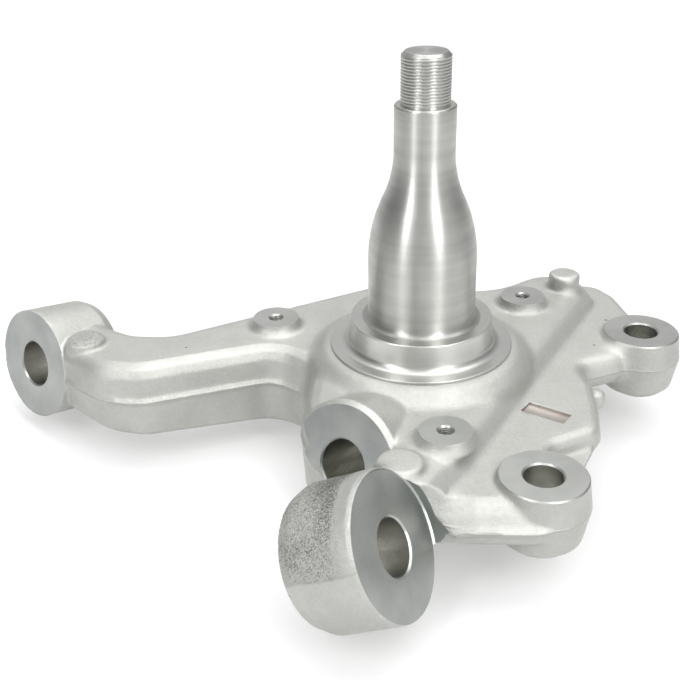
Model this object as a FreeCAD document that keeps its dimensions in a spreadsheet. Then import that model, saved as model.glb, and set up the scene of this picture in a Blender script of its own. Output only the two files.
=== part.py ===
import FreeCAD, Part
import math
import os
import Sketcher
from FreeCAD import Placement, Rotation, Vector

# Steering knuckle, one steel forging. Millimetres, +Z along the wheel spindle.
# The origin is on the spindle axis, on the shoulder that the inner wheel bearing seats against.
doc = FreeCAD.newDocument("SteeringKnuckle")
sheet = doc.addObject("Spreadsheet::Sheet", "sizes")
sheet.Label = "sizes"

sizes = [
    # wheel spindle, from the tip down
    ("thread_radius", 12.0, "M24 wheel nut thread"),
    ("thread_bevel", 1.8, "lead in at the tip"),
    ("thread_length", 24.7, "tip to the outer seat shoulder"),
    ("outer_seat_radius", 15.0, "seat of the outer wheel bearing"),
    ("outer_seat_level", 110.9, "top of the outer seat"),
    ("outer_seat_length", 22.9, "straight ground part"),
    ("seat_bevel", 1.2, "edge of the outer seat"),
    ("waist_radius", 20.0, "where the two sweeps of the taper meet"),
    ("waist_level", 65.0, "height of that join"),
    ("waist_hollow", 56.0, "radius of the hollow sweep"),
    ("waist_crown", 78.0, "radius of the crowned sweep"),
    ("inner_seat_radius", 27.5, "seat of the inner wheel bearing"),
    ("inner_seat_length", 31.7, "height of the inner seat above the shoulder"),
    ("seat_foot_fillet", 3.2, "fillet at the foot of the inner seat"),
    ("collar_radius", 36.5, "shoulder and seal collar"),
    ("collar_bevel", 0.8, "edge of the collar"),
    ("collar_flare", 1.2, "how much wider the collar is at its foot"),
    ("collar_height", 14.0, "shoulder to the machined disc"),
    ("collar_fillet", 4.2, "fillet from collar to disc"),
    ("disc_radius", 47.4, "machined disc round the collar"),
    ("disc_step", 1.8, "disc to the forged pad"),
    ("pad_land", 2.4, "forged ring left round the disc"),
    ("pad_crown", 1.2, "how far the pad's edge falls before its foot"),
    ("pad_edge_width", 2.0, "width of that edge"),
    ("pad_sweep", 6.0, "width of the pad's foot"),
    # levels of the forging
    ("plate_drop", 22.5, "shoulder to the upper face of flange and arm"),
    ("lobe_drop", 31.5, "shoulder to the lower face that carries the caliper lugs"),
    ("parting_drop", 41.6, "shoulder to the die parting plane"),
    ("web_drop", 51.5, "shoulder to the underside of the web"),
    ("arm_drop", 65.5, "shoulder to the underside, at the middle of the arm"),
    ("floor_tilt", 3.0, "how the underside falls towards the hub"),
    ("hub_drop", 78.0, "shoulder to the underside of the hub"),
    ("hub_radius", 45.0, "hub under the spindle, at the body's underside"),
    ("draft_angle", 8.0, "forging draft"),
    ("step_angle", 37.0, "slope of the step from plate to lobe"),
    ("plate_fillet", 6.5, "rounded upper edge of arm and plate"),
    ("lobe_fillet", 4.0, "rounded upper edge of the lobe"),
    ("floor_bevel", 3.6, "bevelled lower edges"),
    ("flash_width", 1.1, "trimmed flash left round the parting line"),
    ("flash_height", 2.2, "its thickness"),
    ("front_slope", 40.0, "slope of the web's front edge above the parting plane"),
    # bosses with level bores
    ("cross_bore_radius", 12.5, "bores of the three cross bosses"),
    ("bore_bevel", 0.8, "chamfer of every bore"),
    ("arm_eye_x", -216.7, "centre of the machined face"),
    ("arm_eye_y", 12.6, ""),
    ("arm_eye_drop", 41.6, ""),
    ("arm_eye_heading", -128.1, "direction that the face looks in plan"),
    ("arm_eye_rise", 10.1, "how far that face looks up"),
    ("arm_eye_radius", 30.4, ""),
    ("arm_eye_length", 41.0, ""),
    ("arm_eye_round", 8.0, "forged edge at the back"),
    ("arm_eye_depth", 50.0, "depth of the bore, past the boss's back"),
    ("arm_eye_reach", 14.0, "how far in front of the face the cutter clears"),
    ("joint_eye_x", -35.9, "boss beside the hub"),
    ("joint_eye_y", -79.5, ""),
    ("joint_eye_drop", 41.6, ""),
    ("joint_eye_heading", -124.5, ""),
    ("joint_eye_rise", 17.5, ""),
    ("joint_eye_radius", 31.6, ""),
    ("joint_eye_bevel", 2.5, "bevel round the machined face"),
    ("joint_eye_length", 40.0, ""),
    ("joint_eye_depth", 48.0, "blind bore"),
    ("joint_eye_reach", 7.0, ""),
    ("joint_eye_round", 5.0, "bevel at its hidden back"),
    ("joint_flank", 21.6, "axis of the boss to its flat forged flank"),
    ("joint_flank_round", 23.8, "corner between that flank and the machined face"),
    ("front_eye_x", -8.8, "large boss at the front"),
    ("front_eye_y", -148.6, ""),
    ("front_eye_drop", 34.1, ""),
    ("front_eye_heading", -17.9, ""),
    ("front_eye_rise", 27.6, ""),
    ("front_eye_radius", 32.7, ""),
    ("front_eye_bevel", 0.8, ""),
    ("front_eye_length", 40.5, ""),
    ("front_eye_depth", 50.0, "past the boss's back"),
    ("front_eye_reach", 45.0, ""),
    ("front_eye_round", 10.0, ""),
    ("front_eye_lift", 1.0, "forged axis above the machined one"),
    ("spot_margin", 0.2, "how much wider the facing cutter is than the face"),
    # caliper lugs
    ("lug_drop", 27.6, "shoulder to the machined lug faces"),
    ("lug_floor_drop", 61.5, "shoulder to the lug undersides"),
    ("lug_radius", 20.5, "rim of the lug face"),
    ("lug_bore_radius", 9.05, ""),
    ("lug_floor_round", 4.0, "bevel of the lug undersides"),
    ("right_lug_x", 122.3, ""),
    ("right_lug_y", 41.0, ""),
    ("front_lug_x", 55.6, ""),
    ("front_lug_y", -103.0, ""),
    # tapped bosses for the dust shield
    ("shield_circle_radius", 85.3, "circle of the three tapped bosses"),
    ("shield_first_angle", 160.8, ""),
    ("shield_second_angle", 47.2, ""),
    ("shield_third_angle", -81.7, ""),
    ("shield_drop", 17.2, "shoulder to the boss faces"),
    ("shield_boss_radius", 12.5, ""),
    ("shield_boss_flare", 1.0, ""),
    ("shield_boss_fillet", 2.2, "sloping foot of a boss"),
    ("tap_radius", 3.4, "tapping drill for M8"),
    ("tap_depth", 20.0, ""),
    ("tap_bevel", 0.9, ""),
    # locating studs of the forging
    ("stud_x", 84.0, "tall stud at the back corner"),
    ("stud_y", 86.0, ""),
    ("stud_radius", 9.0, ""),
    ("stud_height", 9.5, ""),
    ("stud_round", 1.4, ""),
    ("stud_foot", 1.8, "sloping foot of the stud"),
    ("arm_stud_x", -181.5, "low stud on the arm"),
    ("arm_stud_y", 1.5, ""),
    ("arm_stud_radius", 10.0, ""),
    ("arm_stud_height", 5.0, ""),
    ("front_stud_x", -8.0, "low flat stud by the front boss"),
    ("front_stud_y", -106.0, ""),
    ("front_stud_radius", 11.0, ""),
    ("front_stud_height", 2.6, ""),
    ("low_stud_x", 94.0, "small stud under the web"),
    ("low_stud_y", -1.0, ""),
    ("low_stud_radius", 5.5, ""),
    ("low_stud_height", 2.5, ""),
    # marking recess
    ("recess_x", 62.5, ""),
    ("recess_y", -43.5, ""),
    ("recess_length", 22.0, ""),
    ("recess_width", 9.0, ""),
    ("recess_depth", 1.2, ""),
    ("recess_turn", -30.0, ""),
]

for row, (name, number, note) in enumerate(sizes, start=1):
    sheet.set("A%d" % row, name)
    sheet.set("B%d" % row, str(number))
    sheet.setAlias("B%d" % row, name)
    sheet.set("C%d" % row, note)
doc.recompute()


def size(name):
    return float(getattr(sheet, name))


def add(kind, name):
    thing = doc.addObject(kind, name)
    thing.Label = name
    return thing


def turned(name, corners, x=0.0, y=0.0):
    """Solid of revolution about an upright axis. A corner is (radius, level) or, where an arc
    leads to it, (radius, level, arc radius) with a minus sign for a hollow arc."""
    sketch = add("Sketcher::SketchObject", name + "_profile")
    sketch.Placement = Placement(Vector(x, y, 0), Rotation(Vector(1, 0, 0), 90))
    points = [Vector(c[0], c[1], 0) for c in corners]
    for i, corner in enumerate(corners):
        start = points[i - 1]
        end = points[i]
        if len(corner) == 3:
            chord = end - start
            reach = abs(corner[2])
            rise = reach - math.sqrt(max(reach * reach - (chord.Length / 2) ** 2, 0.0))
            side = Vector(-chord.y, chord.x, 0).normalize()
            if corner[2] > 0:
                side = side * -1
            middle = (start + end) * 0.5 - side * rise
            sketch.addGeometry(Part.Arc(start, middle, end))
        else:
            sketch.addGeometry(Part.LineSegment(start, end))
    solid = add("Part::Revolution", name)
    solid.Source = sketch
    solid.Axis = Vector(0, 0, 1)
    solid.Base = Vector(x, y, 0)
    solid.Angle = 360
    solid.Solid = True
    return solid


def outline(corners, inset, level, bevel=0.0):
    """Closed wire of straight runs and tangent arcs. A corner is (x, y, radius[, slope]), its
    slope being the inset of the run that leaves it, as a share of the drop. A bevel draws every
    run in by the same amount on top of that."""
    count = len(corners)
    runs = []
    for i in range(count):
        here = Vector(corners[i][0], corners[i][1], 0)
        there = Vector(corners[(i + 1) % count][0], corners[(i + 1) % count][1], 0)
        along = (there - here).normalize()
        inward = Vector(-along.y, along.x, 0)
        share = corners[i][3] if len(corners[i]) > 3 else math.tan(math.radians(size("draft_angle")))
        shift = inset * share + bevel
        runs.append((here + inward * shift, along, shift))
    knots = []
    for i in range(count):
        base, along, shift = runs[i]
        before, earlier, shift_before = runs[i - 1]
        cross = earlier.x * along.y - earlier.y * along.x
        gap = base - before
        reach = (gap.x * along.y - gap.y * along.x) / cross
        knot = before + earlier * reach
        radius = corners[i][2]
        mean_shift = (shift + shift_before) / 2
        radius = radius - mean_shift if cross > 0 else radius + mean_shift
        radius = max(radius, 1.0)
        turn = math.acos(max(-1.0, min(1.0, earlier.dot(along))))
        cut = radius * math.tan(turn / 2)
        bisector = (along - earlier).normalize()
        middle = knot + bisector * (radius / math.cos(turn / 2) - radius)
        knots.append((knot - earlier * cut, middle, knot + along * cut))
    edges = []
    for i in range(count):
        first, middle, last = [Vector(p.x, p.y, level) for p in knots[i]]
        following = knots[(i + 1) % count][0]
        edges.append(Part.Arc(first, middle, last).toShape())
        edges.append(Part.makeLine(last, Vector(following.x, following.y, level)))
    return Part.Wire(edges)


def block(name, corners, parting, level, edge, rounded, tilt=0.0, pivot=0.0, lead=0.0):
    """Drafted slab from the parting plane to a level, widest at the parting plane, its free edge
    rounded by two flats or bevelled by one. The free face may be tilted about a line across the
    arm. A lead draws the whole slab in, as though its parting plane lay that much further away."""
    side = 1 if level > parting else -1
    drop = abs(level - parting)
    rings = [(lead, parting, 0.0)]
    rings.append((drop - edge + lead, level - side * edge, 0.0))
    if rounded:
        rings.append((drop - edge * 0.3 + lead, level - side * edge * 0.3, edge * 0.3))
    rings.append((drop + lead, level, edge))
    lines = []
    for number, (inset, height, bevel) in enumerate(rings):
        line = add("Part::Feature", "%s_line_%d" % (name, number))
        shape = outline(corners, inset, height, bevel)
        if number:
            shape.rotate(Vector(pivot, 0, level), Vector(0, 1, 0), tilt)
        line.Shape = shape
        lines.append(line)
    slab = add("Part::Loft", name)
    slab.Sections = lines
    slab.Solid = True
    slab.Ruled = True
    doc.recompute()
    return slab


def flanked(blank, face, look):
    """The boss beside the hub has a flat forged flank with a wide corner towards its face."""
    across = Vector(-look.y, look.x, 0).normalize()
    left = face.x - size("joint_flank")
    corner = face - across * ((face.x - left) / across.x)
    far = face + across * 60
    round_radius = size("joint_flank_round")
    line = outline([
        (corner.x, corner.y, round_radius),
        (far.x, far.y, 5),
        (far.x + 20, far.y + 120, 5),
        (left, far.y + 120, 5),
    ], 0.0, -size("hub_drop") - 20)
    foot = add("Part::Feature", "joint_eye_flank_line")
    foot.Shape = line
    prism = add("Part::Extrusion", "joint_eye_flank")
    prism.Base = foot
    prism.Dir = Vector(0, 0, 1)
    prism.LengthFwd = size("hub_drop") + 40
    prism.Solid = True
    trimmed = add("Part::Common", "joint_eye_trimmed")
    trimmed.Base = blank
    trimmed.Tool = prism
    return trimmed


def eye(name, back_round, face_bevel):
    """Boss on a tilted axis, its machined face outermost, with what the cutters take away."""
    heading = math.radians(size(name + "_heading"))
    rise = math.radians(size(name + "_rise"))
    face = Vector(size(name + "_x"), size(name + "_y"), -size(name + "_drop"))
    look = Vector(math.cos(rise) * math.cos(heading), math.cos(rise) * math.sin(heading), math.sin(rise))
    turn = Rotation(Vector(0, 0, 1), look)
    length = size(name + "_length")
    across = Vector(-look.y, look.x, 0).normalize()
    lift = look.cross(across) * (size("front_eye_lift") if name == "front_eye" else 0.0)
    radius = size(name + "_radius")
    rim = [(radius - face_bevel, 0.0), (radius, -face_bevel)] if face_bevel else [(radius, 0.0)]
    blank = turned(name + "_barrel", [(0.0, 0.0)] + rim + [
        (radius, back_round - length),
        (radius - back_round * 0.3, back_round * 0.3 - length),
        (radius - back_round, -length),
        (0.0, -length),
    ])
    blank.Placement = Placement(face + lift, turn)
    if name == "joint_eye":
        blank = flanked(blank, face, look)
    facing = add("Part::Cylinder", name + "_facing")
    facing.setExpression("Radius", "sizes.%s_radius + sizes.spot_margin" % name)
    facing.setExpression("Height", "sizes.%s_reach" % name)
    facing.Placement = Placement(face, turn)
    bore = add("Part::Cylinder", name + "_bore")
    bore.setExpression("Radius", "sizes.cross_bore_radius")
    bore.setExpression("Height", "sizes.%s_depth + 2" % name)
    bore.Placement = Placement(face - look * size(name + "_depth"), turn)
    mouth = add("Part::Cone", name + "_mouth")
    mouth.setExpression("Radius1", "sizes.cross_bore_radius")
    mouth.setExpression("Radius2", "sizes.cross_bore_radius + sizes.bore_bevel")
    mouth.setExpression("Height", "sizes.bore_bevel")
    mouth.Placement = Placement(face - look * size("bore_bevel"), turn)
    return blank, [facing, bore, mouth]


# Spindle, collar, machined disc and the forged pad round it, one turned profile
small = size("outer_seat_radius")
large = size("inner_seat_radius")
tip_level = size("outer_seat_level") + size("thread_length")
seat_bottom = size("outer_seat_level") - size("outer_seat_length")
foot = size("seat_foot_fillet")
collar = size("collar_radius")
collar_foot = collar + size("collar_flare")
disc_level = -size("collar_height")
pad_level = disc_level - size("disc_step")
pad_edge = size("disc_radius") + size("pad_land")
pad_foot = pad_edge + size("pad_edge_width") + size("pad_sweep")
plate_level = -size("plate_drop")
parting = -size("parting_drop")
spindle = turned("spindle", [
    (0.0, tip_level),
    (size("thread_radius") - size("thread_bevel"), tip_level),
    (size("thread_radius"), tip_level - size("thread_bevel")),
    (size("thread_radius"), size("outer_seat_level")),
    (small - size("seat_bevel"), size("outer_seat_level")),
    (small, size("outer_seat_level") - size("seat_bevel")),
    (small, seat_bottom),
    (size("waist_radius"), size("waist_level"), -size("waist_hollow")),
    (large, size("inner_seat_length"), size("waist_crown")),
    (large, foot),
    (large + foot * 0.3, foot * 0.3),
    (large + foot, 0.0),
    (collar - size("collar_bevel"), 0.0),
    (collar, -size("collar_bevel")),
    (collar_foot, disc_level + size("collar_fillet")),
    (collar_foot + size("collar_fillet") * 0.3, disc_level + size("collar_fillet") * 0.3),
    (collar_foot + size("collar_fillet"), disc_level),
    (size("disc_radius"), disc_level),
    (size("disc_radius"), pad_level),
    (pad_edge, pad_level),
    (pad_foot - size("pad_sweep"), pad_level - size("pad_crown")),
    (pad_foot, plate_level),
    (pad_foot, plate_level - size("plate_fillet")),
    (0.0, plate_level - size("plate_fillet")),
])

# Upper half of the forging: arm, hub and the web to the front boss, up to the plate level.
# Corners run anticlockwise from the arm eye along the front.
front_x = size("front_eye_x")
front_y = size("front_eye_y")
joint_x = size("joint_eye_x")
joint_y = size("joint_eye_y")
arm_x = size("arm_eye_x")
arm_y = size("arm_eye_y")
stud_x = size("stud_x")
stud_y = size("stud_y")
step_slope = math.tan(math.radians(size("step_angle")))
arm_front = [
    (arm_x + 10, arm_y - 8, 11),
    (arm_x + 46, arm_y - 38, 24),
    (arm_x + 70, arm_y - 41, 26),
    (-79, 0, 18),
    (-58, -15, 14),
]
arm_back = [
    (arm_x + 78, arm_y + 7, 22),
    (arm_x + 58, arm_y + 7, 16),
    (arm_x + 24, arm_y + 26, 11),
]
upper_corners = arm_front + [
    (joint_x - size("joint_flank"), joint_y + 15, size("joint_flank_round")),
    (joint_x + 23, joint_y - 12, 5),
    (front_x - 20, front_y + 21, 11),
    (front_x + 24, front_y + 21, 16, step_slope),
    (front_x + 38, front_y + 46, 40, step_slope),
    (stud_x + 24, stud_y - 12, 22),
    (stud_x + 10, stud_y + 24, 16),
    (stud_x - 16, stud_y + 24, 24),
    (38, 83, 40),
    (-20, 97, 40),
] + arm_back
upper = block("upper_forging", upper_corners, parting, plate_level, size("plate_fillet"), True)

# The lower face that carries the caliper lugs, in front of and to the right of the step
lug_x = size("right_lug_x")
lug_y = size("right_lug_y")
low_x = size("front_lug_x")
low_y = size("front_lug_y")
front_slope = math.tan(math.radians(size("front_slope")))
front_edge = (front_x + 6, front_y + 20, 12, front_slope)
behind_lug = [
    (90, -12, 14),
    (lug_x - 36, lug_y - 34, 7),
    (lug_x - 12, lug_y - 22, 8),
    (lug_x + 3, lug_y + 22, 10),
    (lug_x - 5, stud_y + 11, 18),
    (lug_x - 15, stud_y + 27, 14),
    (stud_x - 14, stud_y + 27, 20),
    (20, 60, 20),
    (0, -60, 20),
]
lobe = block("lobe", [
    front_edge,
    (low_x + 6, low_y - 24, 18),
    (low_x + 20, low_y + 2, 12),
    (low_x + 5, low_y + 29, 7),
    (low_x + 33, low_y + 46, 14),
    (90.5, -34, 24),
] + behind_lug, parting, -size("lobe_drop"), size("lobe_fillet"), True)
web_corners = [
    front_edge[:3],
    (low_x + 6, low_y - 24, 18),
    (low_x + 22, low_y + 29, 18),
    (88.5, -47, 24),
] + behind_lug
web = block("web", web_corners, parting, -size("web_drop"), size("floor_bevel"), False)

# Lower half of arm and body, and the hub under the spindle
lower = block("lower_forging", arm_front[:-1] + [
    arm_front[-1] + (0.05,),
    (joint_x - size("joint_flank"), joint_y + 8, size("joint_flank_round")),
    (joint_x + 14, joint_y - 7, 8),
    (front_x - 12, front_y + 28, 7),
    (front_x + 8, front_y + 32, 8),
    (36, -64, 20),
    (54, -4, 30),
    (38, 52, 30),
    (-30, 58, 40),
    (-76, 44, 30),
] + arm_back, parting, -size("arm_drop"), size("floor_bevel"), False, size("floor_tilt"), arm_x + 66)
shell = block("shell", upper_corners, parting, -size("web_drop"), size("floor_bevel"), False, lead=3.0)
hub_side = math.tan(math.radians(size("draft_angle"))) * (size("hub_drop") - size("arm_drop"))
hub = turned("hub", [
    (0.0, parting),
    (size("hub_radius"), parting),
    (size("hub_radius"), -size("arm_drop")),
    (size("hub_radius") - hub_side, -size("hub_drop") + size("floor_bevel")),
    (size("hub_radius") - hub_side - size("floor_bevel"), -size("hub_drop")),
    (0.0, -size("hub_drop")),
])

# Trimmed flash round the parting line
flashes = []
for name, corners in (("upper_flash", upper_corners), ("web_flash", web_corners)):
    line = add("Part::Feature", name + "_line")
    line.Shape = outline([corner[:2] + (corner[2], 1.0) for corner in corners],
                         -size("flash_width"), parting - size("flash_height") / 2)
    ridge = add("Part::Extrusion", name)
    ridge.Base = line
    ridge.Dir = Vector(0, 0, 1)
    ridge.LengthFwd = size("flash_height")
    ridge.Solid = True
    flashes.append(ridge)

# The three bosses on tilted axes, what their facing cutters and drills take away
cuts = []
eyes = []
for name, back_round, face_bevel in (
    ("arm_eye", size("arm_eye_round"), 0.0),
    ("joint_eye", size("joint_eye_round"), size("joint_eye_bevel")),
    ("front_eye", size("front_eye_round"), size("front_eye_bevel")),
):
    blank, taken = eye(name, back_round, face_bevel)
    eyes.append(blank)
    cuts.extend(taken)

# Caliper lugs
slant = math.tan(math.radians(size("draft_angle")))
rim = size("lug_radius")
belt = rim + slant * (size("parting_drop") - size("lug_drop"))
tail = belt - slant * (size("lug_floor_drop") - size("parting_drop"))
lugs = []
for name in ("right_lug", "front_lug"):
    x = size(name + "_x")
    y = size(name + "_y")
    lugs.append(turned(name, [
        (0.0, -size("lug_drop")),
        (rim, -size("lug_drop")),
        (belt, parting),
        (tail, -size("lug_floor_drop") + size("lug_floor_round")),
        (tail - size("lug_floor_round"), -size("lug_floor_drop")),
        (0.0, -size("lug_floor_drop")),
    ], x, y))
    bore = add("Part::Cylinder", name + "_bore")
    bore.setExpression("Radius", "sizes.lug_bore_radius")
    bore.setExpression("Height", "sizes.lug_floor_drop - sizes.lug_drop + 20")
    bore.Placement = Placement(Vector(x, y, -size("lug_floor_drop") - 10), Rotation())
    mouth = add("Part::Cone", name + "_mouth")
    mouth.setExpression("Radius1", "sizes.lug_bore_radius")
    mouth.setExpression("Radius2", "sizes.lug_bore_radius + sizes.bore_bevel")
    mouth.setExpression("Height", "sizes.bore_bevel")
    mouth.Placement = Placement(Vector(x, y, -size("lug_drop") - size("bore_bevel")), Rotation())
    cuts.extend([bore, mouth])

# Tapped bosses that hold the dust shield
bosses = []
boss_radius = size("shield_boss_radius")
boss_foot = boss_radius + size("shield_boss_flare")
boss_fillet = size("shield_boss_fillet")
for name in ("first", "second", "third"):
    angle = math.radians(size("shield_%s_angle" % name))
    x = size("shield_circle_radius") * math.cos(angle)
    y = size("shield_circle_radius") * math.sin(angle)
    bosses.append(turned(name + "_shield_boss", [
        (0.0, -size("shield_drop")),
        (boss_radius, -size("shield_drop")),
        (boss_foot, plate_level + boss_fillet),
        (boss_foot + boss_fillet, plate_level),
        (boss_foot + boss_fillet, plate_level - 2),
        (0.0, plate_level - 2),
    ], x, y))
    tap = add("Part::Cylinder", name + "_tap")
    tap.setExpression("Radius", "sizes.tap_radius")
    tap.setExpression("Height", "sizes.tap_depth + 1")
    tap.Placement = Placement(Vector(x, y, -size("shield_drop") - size("tap_depth")), Rotation())
    mouth = add("Part::Cone", name + "_tap_mouth")
    mouth.setExpression("Radius1", "sizes.tap_radius")
    mouth.setExpression("Radius2", "sizes.tap_radius + sizes.tap_bevel")
    mouth.setExpression("Height", "sizes.tap_bevel")
    mouth.Placement = Placement(Vector(x, y, -size("shield_drop") - size("tap_bevel")), Rotation())
    cuts.extend([tap, mouth])

# Locating studs left on the forging
studs = []
edge = size("stud_round")
studs.append(turned("stud", [
    (0.0, plate_level + size("stud_height")),
    (size("stud_radius") - edge, plate_level + size("stud_height")),
    (size("stud_radius"), plate_level + size("stud_height") - edge),
    (size("stud_radius"), plate_level + size("stud_foot")),
    (size("stud_radius") + size("stud_foot"), plate_level),
    (size("stud_radius") + size("stud_foot"), plate_level - 3),
    (0.0, plate_level - 3),
], stud_x, stud_y))
for name, rounding in (("arm_stud", 1.5), ("front_stud", 0.8)):
    radius = size(name + "_radius")
    top = plate_level + size(name + "_height")
    studs.append(turned(name, [
        (0.0, top),
        (radius - rounding * 2, top),
        (radius, top - rounding * 1.5),
        (radius + 1, plate_level - 3),
        (0.0, plate_level - 3),
    ], size(name + "_x"), size(name + "_y")))
studs.append(turned("low_stud", [
    (0.0, parting),
    (size("low_stud_radius"), parting),
    (size("low_stud_radius"), -size("web_drop") - size("low_stud_height") + 1.2),
    (size("low_stud_radius") - 1.2, -size("web_drop") - size("low_stud_height")),
    (0.0, -size("web_drop") - size("low_stud_height")),
], size("low_stud_x"), size("low_stud_y")))

# Shallow recess for the forging mark, left blank
recess = add("Part::Box", "mark_recess")
recess.setExpression("Length", "sizes.recess_length")
recess.setExpression("Width", "sizes.recess_width")
recess.Height = 10
turn = Rotation(Vector(0, 0, 1), size("recess_turn"))
corner = turn.multVec(Vector(size("recess_length") / 2, size("recess_width") / 2, 0))
level = -size("lobe_drop") - size("recess_depth")
recess.Placement = Placement(Vector(size("recess_x"), size("recess_y"), level) - corner, turn)
cuts.append(recess)
doc.recompute()

forging = add("Part::MultiFuse", "forging")
forging.Shapes = [spindle, upper, lobe, web, shell, lower, hub] + flashes + eyes + lugs + bosses + studs
cutters = add("Part::MultiFuse", "cutters")
cutters.Shapes = cuts
knuckle = add("Part::Cut", "knuckle")
knuckle.Base = forging
knuckle.Tool = cutters
knuckle.Refine = True
doc.recompute()

for thing in doc.Objects:
    if "Invalid" in thing.State or "Error" in thing.State:
        raise RuntimeError(thing.Label + " failed")
shape = knuckle.Shape
if shape.isNull() or not shape.isValid() or len(shape.Solids) != 1:
    raise RuntimeError("knuckle is not one sound solid: %d" % len(shape.Solids))
box = shape.BoundBox
print("box", [round(v, 2) for v in (box.XMin, box.XMax, box.YMin, box.YMax, box.ZMin, box.ZMax)])
centre = shape.Solids[0].CenterOfMass
print("volume %.1f cm3, centre of mass %.1f %.1f %.1f" % (shape.Volume / 1000, centre.x, centre.y, centre.z))

os.makedirs("parts", exist_ok=True)
shape.Solids[0].exportStep("parts/knuckle.step")
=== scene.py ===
import bpy
import bmesh
import math
import numpy as np
from mathutils import Matrix, Vector


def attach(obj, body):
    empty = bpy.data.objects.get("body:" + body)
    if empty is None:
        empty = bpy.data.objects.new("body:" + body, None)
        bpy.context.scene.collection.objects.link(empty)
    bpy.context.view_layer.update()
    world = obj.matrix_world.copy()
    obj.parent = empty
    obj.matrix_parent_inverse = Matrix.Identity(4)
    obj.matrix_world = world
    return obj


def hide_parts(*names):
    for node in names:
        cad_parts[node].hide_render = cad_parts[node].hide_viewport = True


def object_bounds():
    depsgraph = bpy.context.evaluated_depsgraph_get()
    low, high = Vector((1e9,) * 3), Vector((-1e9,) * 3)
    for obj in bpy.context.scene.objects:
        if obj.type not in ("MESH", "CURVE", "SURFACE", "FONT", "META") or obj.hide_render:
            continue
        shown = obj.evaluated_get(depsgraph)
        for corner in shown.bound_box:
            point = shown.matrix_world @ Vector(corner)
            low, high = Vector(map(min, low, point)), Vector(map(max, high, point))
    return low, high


# Steering knuckle. Lengths are in millimetres unless a comment says otherwise, and become metres
# where a mesh is made.
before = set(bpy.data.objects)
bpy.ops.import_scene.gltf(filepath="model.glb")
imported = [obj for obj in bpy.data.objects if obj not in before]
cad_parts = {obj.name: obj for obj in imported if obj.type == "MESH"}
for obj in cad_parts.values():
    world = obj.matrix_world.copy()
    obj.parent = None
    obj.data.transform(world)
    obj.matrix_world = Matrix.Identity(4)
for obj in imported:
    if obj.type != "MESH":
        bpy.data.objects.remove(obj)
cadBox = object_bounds()
mm = 0.001
print("frame loaded")

# the camera at the photograph's angle: turns in degrees, lens and sensor as on a real camera
cameraSettings = {
    "place": (0.0, -497.95, 243.8),
    "yaw": -4.891,
    "pitch": 27.475,
    "roll": 1.057,
    "lens": 56.25,
    "sensor": 36.0,
    "clipStart": 0.01,
}


def buildCamera(settings):
    yaw = math.radians(settings["yaw"])
    pitch = math.radians(settings["pitch"])
    roll = math.radians(settings["roll"])
    forward = Vector((math.sin(yaw) * math.cos(pitch), math.cos(yaw) * math.cos(pitch),
                      -math.sin(pitch)))
    level = Vector((math.cos(yaw), -math.sin(yaw), 0))
    rise = level.cross(forward)
    up = rise * math.cos(roll) + level * math.sin(roll)
    side = forward.cross(up)
    data = bpy.data.cameras.new("camera")
    data.sensor_fit = "HORIZONTAL"
    data.sensor_width = settings["sensor"]
    data.lens = settings["lens"]
    data.clip_start = settings["clipStart"]
    camera = bpy.data.objects.new("camera", data)
    bpy.context.scene.collection.objects.link(camera)
    turn = Matrix((side, up, -forward)).transposed().to_4x4()
    camera.matrix_world = Matrix.Translation(Vector(settings["place"]) * mm) @ turn
    bpy.context.scene.camera = camera


buildCamera(cameraSettings)
print("camera placed")


def addPiece(name, mesh, materials=()):
    piece = bpy.data.objects.new(name, mesh)
    bpy.context.scene.collection.objects.link(piece)
    for material in materials:
        mesh.materials.append(material)
    return piece


def settle(piece):
    # applies the piece's modifiers
    graph = bpy.context.evaluated_depsgraph_get()
    mesh = bpy.data.meshes.new_from_object(piece.evaluated_get(graph))
    old = piece.data
    piece.modifiers.clear()
    piece.data = mesh
    bpy.data.meshes.remove(old)


def arcPoints(start, end, reach, count):
    # points of an arc from start to end in the profile plane; reach is its radius, below zero if hollow
    first = Vector(start)
    last = Vector(end)
    chord = last - first
    side = Vector((-chord.y, chord.x)).normalized()
    drop = math.sqrt(max(reach * reach - (chord.length / 2) ** 2, 0.0))
    centre = (first + last) / 2 - side * (drop if reach > 0 else -drop)
    begin = math.atan2(first.y - centre.y, first.x - centre.x)
    sweep = math.atan2(last.y - centre.y, last.x - centre.x) - begin
    sweep = (sweep + math.pi) % (2 * math.pi) - math.pi
    radius = (first - centre).length
    return [(centre.x + radius * math.cos(begin + sweep * i / count),
             centre.y + radius * math.sin(begin + sweep * i / count)) for i in range(1, count + 1)]


def roundedProfile(corners, steps=3):
    # (radius, level[, rounding]) corners, each rounded off in the profile plane
    points = []
    for i, corner in enumerate(corners):
        here = Vector(corner[:2])
        rounding = corner[2] if len(corner) > 2 else 0.0
        if not rounding or i in (0, len(corners) - 1):
            points.append((here.x, here.y))
            continue
        before = (Vector(corners[i - 1][:2]) - here).normalized()
        after = (Vector(corners[i + 1][:2]) - here).normalized()
        for step in range(steps + 1):
            share = step / steps
            a = here + before * rounding * (1 - share)
            b = here + after * rounding * share
            point = a.lerp(b, share)
            points.append((point.x, point.y))
    return points


# a turn's flat root and its flank as shares of half a pitch, and how far under the crest a point may
# lie to be moved
threadForm = {"root": 0.08, "flank": 0.46, "catch": 2.5}


def threadRadius(level, angle, settings):
    # the turns run out gently at their foot
    share = (level / settings["pitch"] - angle / (2 * math.pi)) % 1.0
    side = abs(share - 0.5) * 2
    cut = min(max((side - threadForm["root"]) / threadForm["flank"], 0.0), 1.0)
    fade = min(max((level - settings["from"]) / settings["fade"], 0.0), 1.0)
    return settings["crest"] - settings["depth"] * (1 - cut) * fade


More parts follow.
